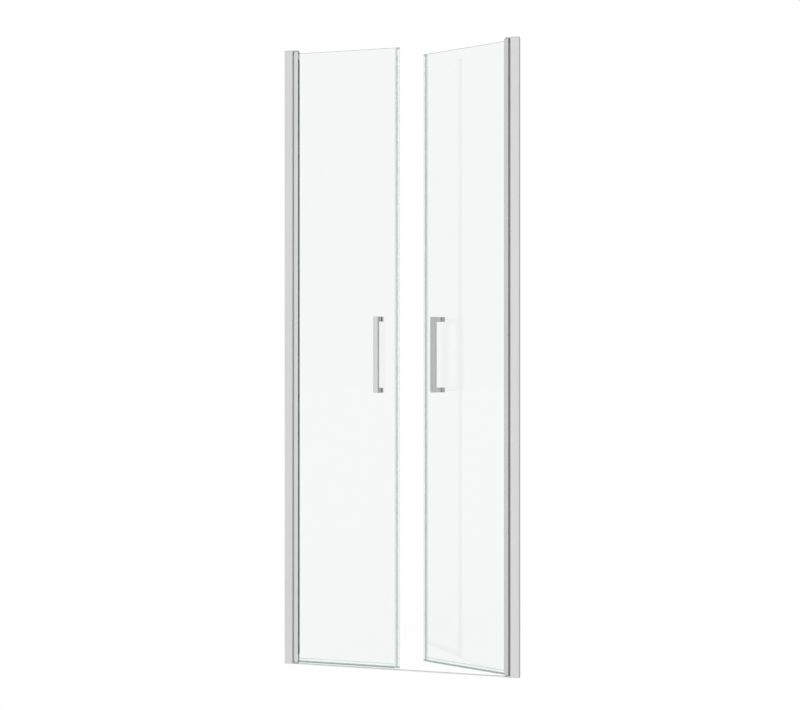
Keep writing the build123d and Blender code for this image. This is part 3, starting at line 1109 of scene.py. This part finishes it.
class SHOWERDOOR_OT_pivots(bpy.types.Operator):
    """Finish the pivot brackets with their bushes and screws, and the plugs and pins"""

    bl_idname = "showerdoor.pivots"
    bl_label = "Pivots"

    def execute(self, context):
        sizes = context.scene.door_sizes
        colours = context.scene.door_colours
        casting = make_material("cast_bracket", build_cast_metal, colours.casting)
        bearing = make_material(
            "bearing_plastic", build_moulded_plastic, colours.bearing, BEARING_ROUGHNESS
        )
        dress_sides(["top_pivot_bracket", "bottom_pivot_bracket"], casting, sizes.metal_edge)
        dress_sides(["top_pivot_bush", "bottom_pivot_bush"], bearing)
        dress_sides(["bracket_screws", "top_pivot_pin", "bottom_pivot_pin"], steel_material())
        dress_sides(["top_end_plug", "bottom_end_plug"], grey_plastic_material())
        return {"FINISHED"}


class SHOWERDOOR_OT_adjusting_screws(bpy.types.Operator):
    """Finish the adjusting screws and their push-on covers"""

    bl_idname = "showerdoor.adjusting_screws"
    bl_label = "Adjusting Screws"

    def execute(self, context):
        colours = context.scene.door_colours
        cover = make_material(
            "cover_plastic", build_moulded_plastic, colours.pale_plastic, COVER_ROUGHNESS
        )
        dress_sides(["adjusting_screws"], steel_material())
        dress_sides(["adjusting_screw_caps"], cover)
        return {"FINISHED"}


class SHOWERDOOR_OT_threshold(bpy.types.Operator):
    """Finish the threshold strip"""

    bl_idname = "showerdoor.threshold"
    bl_label = "Threshold"

    def execute(self, context):
        material = aluminium_material(ALONG_THRESHOLD, "threshold_aluminium")
        dress("threshold_strip", material, context.scene.door_sizes.metal_edge)
        return {"FINISHED"}


class SHOWERDOOR_OT_hinge_profiles(bpy.types.Operator):
    """Finish the hinge profiles that turn with the leaves"""

    bl_idname = "showerdoor.hinge_profiles"
    bl_label = "Hinge Profiles"

    def execute(self, context):
        dress_sides(["hinge_profile"], aluminium_material())
        return {"FINISHED"}


class SHOWERDOOR_OT_glass_panels(bpy.types.Operator):
    """Finish the glass"""

    bl_idname = "showerdoor.glass_panels"
    bl_label = "Glass Panels"

    def execute(self, context):
        colours = context.scene.door_colours
        for side in SIDES:
            glass = make_material(
                f"clear_glass_{side}", build_glass, side, colours.glass_face, colours.glass_edge
            )
            dress(f"glass_panel_{side}", glass)
        return {"FINISHED"}


class SHOWERDOOR_OT_glazing_gaskets(bpy.types.Operator):
    """Model the gaskets between the glass and the hinge profiles"""

    bl_idname = "showerdoor.glazing_gaskets"
    bl_label = "Glazing Gaskets"

    def execute(self, context):
        rubber = make_material(
            "grey_rubber", build_rubber, context.scene.door_colours.rubber
        )
        for side in SIDES:
            finish_piece(
                make_glazing_gasket(context.scene.door_sizes),
                f"glazing_gasket_{side}",
                leaf_matrix(side),
                leaf_body(side),
                rubber,
            )
        return {"FINISHED"}


class SHOWERDOOR_OT_free_edge_seals(bpy.types.Operator):
    """Model the seals where the leaves meet, and finish their magnets and end caps"""

    bl_idname = "showerdoor.free_edge_seals"
    bl_label = "Free Edge Seals"

    def execute(self, context):
        colours = context.scene.door_colours
        for side in SIDES:
            plastic = make_material(
                f"free_edge_seal_{side}",
                build_free_edge_seal,
                side,
                colours.seal_clip,
                colours.seal,
            )
            finish_piece(
                make_free_edge_seal(context.scene.door_sizes),
                f"free_edge_seal_{side}",
                leaf_matrix(side),
                leaf_body(side),
                plastic,
            )
        magnet = make_material("magnet_white", build_magnet, colours.magnet)
        dress_sides(["magnet_strip"], magnet)
        caps = make_material("seal_end_caps", build_clear_plastic, colours.seal_dark_and_shade)
        dress_sides(["seal_end_caps"], caps)
        return {"FINISHED"}


class SHOWERDOOR_OT_bottom_seals(bpy.types.Operator):
    """Model the drip seals under the glass"""

    bl_idname = "showerdoor.bottom_seals"
    bl_label = "Bottom Seals"

    def execute(self, context):
        colours = context.scene.door_colours
        plastic = make_material(
            "bottom_seal", build_bottom_seal, colours.seal, colours.seal_dark_and_shade
        )
        for side in SIDES:
            finish_piece(
                make_bottom_seal(context.scene.door_sizes),
                f"bottom_seal_{side}",
                leaf_matrix(side),
                leaf_body(side),
                plastic,
            )
        return {"FINISHED"}


class SHOWERDOOR_OT_handles(bpy.types.Operator):
    """Finish the handles with their studs, gaskets, sleeves and inner caps"""

    bl_idname = "showerdoor.handles"
    bl_label = "Handles"

    def execute(self, context):
        colours = context.scene.door_colours
        chrome = chrome_material("satin_chrome", colours.chrome)
        rubber = make_material("handle_rubber", build_rubber, colours.handle_rubber)
        dress_sides(["handle"], chrome)
        # The caps take the handles' chrome with painted shade, darker for being seen through the
        # glass.
        caps = chrome_material("shaded_satin_chrome_caps", colours.inner_cap)
        dress_sides(["handle_inner_caps"], caps, context.scene.door_sizes.metal_edge)
        dress_sides(["handle_studs"], steel_material())
        dress_sides(["handle_gaskets"], rubber)
        dress_sides(["handle_hole_sleeves"], seal_material())
        return {"FINISHED"}


class SHOWERDOOR_OT_studio(bpy.types.Operator):
    """Make the camera, the soft lamps, the pale floor and the white backdrop"""

    bl_idname = "showerdoor.studio"
    bl_label = "Studio"

    def execute(self, context):
        studio = context.scene.door_studio
        make_camera(studio)
        make_floor(studio)
        make_backdrop(studio)
        make_lamp("key_lamp", KEY_DIRECTION, studio.key_strength)
        make_lamp("back_lamp", BACK_DIRECTION, studio.back_strength)
        context.scene.view_settings.view_transform = "Standard"
        return {"FINISHED"}


# Studio

SENSOR_WIDTH = 36.0
LAMP_SPREAD = math.radians(40)
FLOOR_DROP = 0.2 * MM
FLOOR_PALE = (0.9, 0.9, 0.9)
FLOOR_PALER = (0.92, 0.92, 0.92)

# Azimuth and elevation of each lamp, in degrees.
KEY_DIRECTION = (8.0, 35.0)
BACK_DIRECTION = (160.0, 55.0)


def make_camera(studio):
    """The camera, level, where the door was seen from."""
    data = bpy.data.cameras.new("camera")
    data.sensor_width = SENSOR_WIDTH
    data.lens = studio.lens
    camera = bpy.data.objects.new("camera", data)
    camera.location = studio.camera_place
    camera.rotation_euler = (math.radians(90), 0, studio.camera_turn)
    bpy.context.scene.collection.objects.link(camera)
    bpy.context.scene.camera = camera


def make_lamp(name, direction, strength):
    """A wide soft lamp far away. Azimuth 0 is in front of the door and 90 is at its right."""
    azimuth, elevation = direction
    data = bpy.data.lights.new(name, "SUN")
    data.angle = LAMP_SPREAD
    data.energy = strength
    lamp = bpy.data.objects.new(name, data)
    lamp.rotation_euler = (math.radians(90 - elevation), 0, math.radians(azimuth))
    lamp.visible_glossy = False
    bpy.context.scene.collection.objects.link(lamp)


def sees_backdrop(shader):
    """Share of the rays that find a plain white backdrop: seen, mirrored or through glass."""
    path = shader.node("ShaderNodeLightPath").socket.node
    camera, through, mirrored = (
        Value(shader, path.outputs[name])
        for name in ("Is Camera Ray", "Is Transmission Ray", "Is Glossy Ray")
    )
    return shader.maths("MAXIMUM", shader.maths("MAXIMUM", camera, through), mirrored)


def make_floor(studio):
    """A pale floor that is white to the eye and still takes the door's shadow."""
    bm = bmesh.new()
    bmesh.ops.create_grid(bm, x_segments=1, y_segments=1, size=studio.floor_size / 2)
    bmesh.ops.translate(bm, vec=(0, 0, cad_low.z - FLOOR_DROP), verts=bm.verts)
    mesh = bpy.data.meshes.new("floor")
    bm.to_mesh(mesh)
    bm.free()
    material = bpy.data.materials.new("pale_floor")
    shader = Shader(material)
    grain = shader.noise(shader.place(), WAVE_SCALE)
    pale = shader.node(
        "ShaderNodeBsdfDiffuse",
        None,
        {"Color": shader.mix(grain, opaque(FLOOR_PALE), opaque(FLOOR_PALER))},
    )
    white = shader.node(
        "ShaderNodeEmission", None, {"Color": WHITE, "Strength": studio.floor_glow}
    )
    share = sees_backdrop(shader) * studio.floor_white
    shader.output(shader.node("ShaderNodeMixShader", None, {0: share, 1: pale, 2: white}))
    mesh.materials.append(material)
    floor = bpy.data.objects.new("floor", mesh)
    bpy.context.scene.collection.objects.link(floor)


def make_backdrop(studio):
    """White all round to the eye, and a soft light on the door."""
    world = bpy.data.worlds.new("studio")
    bpy.context.scene.world = world
    shader = Shader(world)
    seen = sees_backdrop(shader)
    strength = seen + (1 - seen) * studio.ambient
    shader.output(
        shader.node("ShaderNodeBackground", None, {"Color": WHITE, "Strength": strength}),
        "ShaderNodeOutputWorld",
    )


class SHOWERDOOR_PT_pieces(bpy.types.Panel):
    """Lists the steps that finish the door"""

    bl_idname = "SHOWERDOOR_PT_pieces"
    bl_label = "Shower Door"
    bl_space_type = "VIEW_3D"
    bl_region_type = "UI"
    bl_category = "Shower Door"

    def draw(self, context):
        for operator in OPERATORS:
            self.layout.operator(operator.bl_idname)
        for settings in (
            context.scene.door_sizes,
            context.scene.door_colours,
            context.scene.door_studio,
        ):
            box = self.layout.box()
            for name in type(settings).__annotations__:
                box.prop(settings, name)


OPERATORS = (
    SHOWERDOOR_OT_wall_profiles,
    SHOWERDOOR_OT_wall_profile_caps,
    SHOWERDOOR_OT_pivots,
    SHOWERDOOR_OT_adjusting_screws,
    SHOWERDOOR_OT_threshold,
    SHOWERDOOR_OT_hinge_profiles,
    SHOWERDOOR_OT_glass_panels,
    SHOWERDOOR_OT_glazing_gaskets,
    SHOWERDOOR_OT_free_edge_seals,
    SHOWERDOOR_OT_bottom_seals,
    SHOWERDOOR_OT_handles,
    SHOWERDOOR_OT_studio,
)
CLASSES = (DoorSizes, DoorColours, DoorStudio, *OPERATORS, SHOWERDOOR_PT_pieces)


def register():
    """Adds the settings, the operators and the panel."""
    for made in CLASSES:
        bpy.utils.register_class(made)
    bpy.types.Scene.door_sizes = bpy.props.PointerProperty(type=DoorSizes)
    bpy.types.Scene.door_colours = bpy.props.PointerProperty(type=DoorColours)
    bpy.types.Scene.door_studio = bpy.props.PointerProperty(type=DoorStudio)


def unregister():
    """Takes them away again."""
    del bpy.types.Scene.door_studio
    del bpy.types.Scene.door_colours
    del bpy.types.Scene.door_sizes
    for made in reversed(CLASSES):
        bpy.utils.unregister_class(made)


def main():
    """Finishes the whole door."""
    register()
    for operator in OPERATORS:
        group, name = operator.bl_idname.split(".")
        getattr(getattr(bpy.ops, group), name)()


if __name__ == "__main__":
    main()
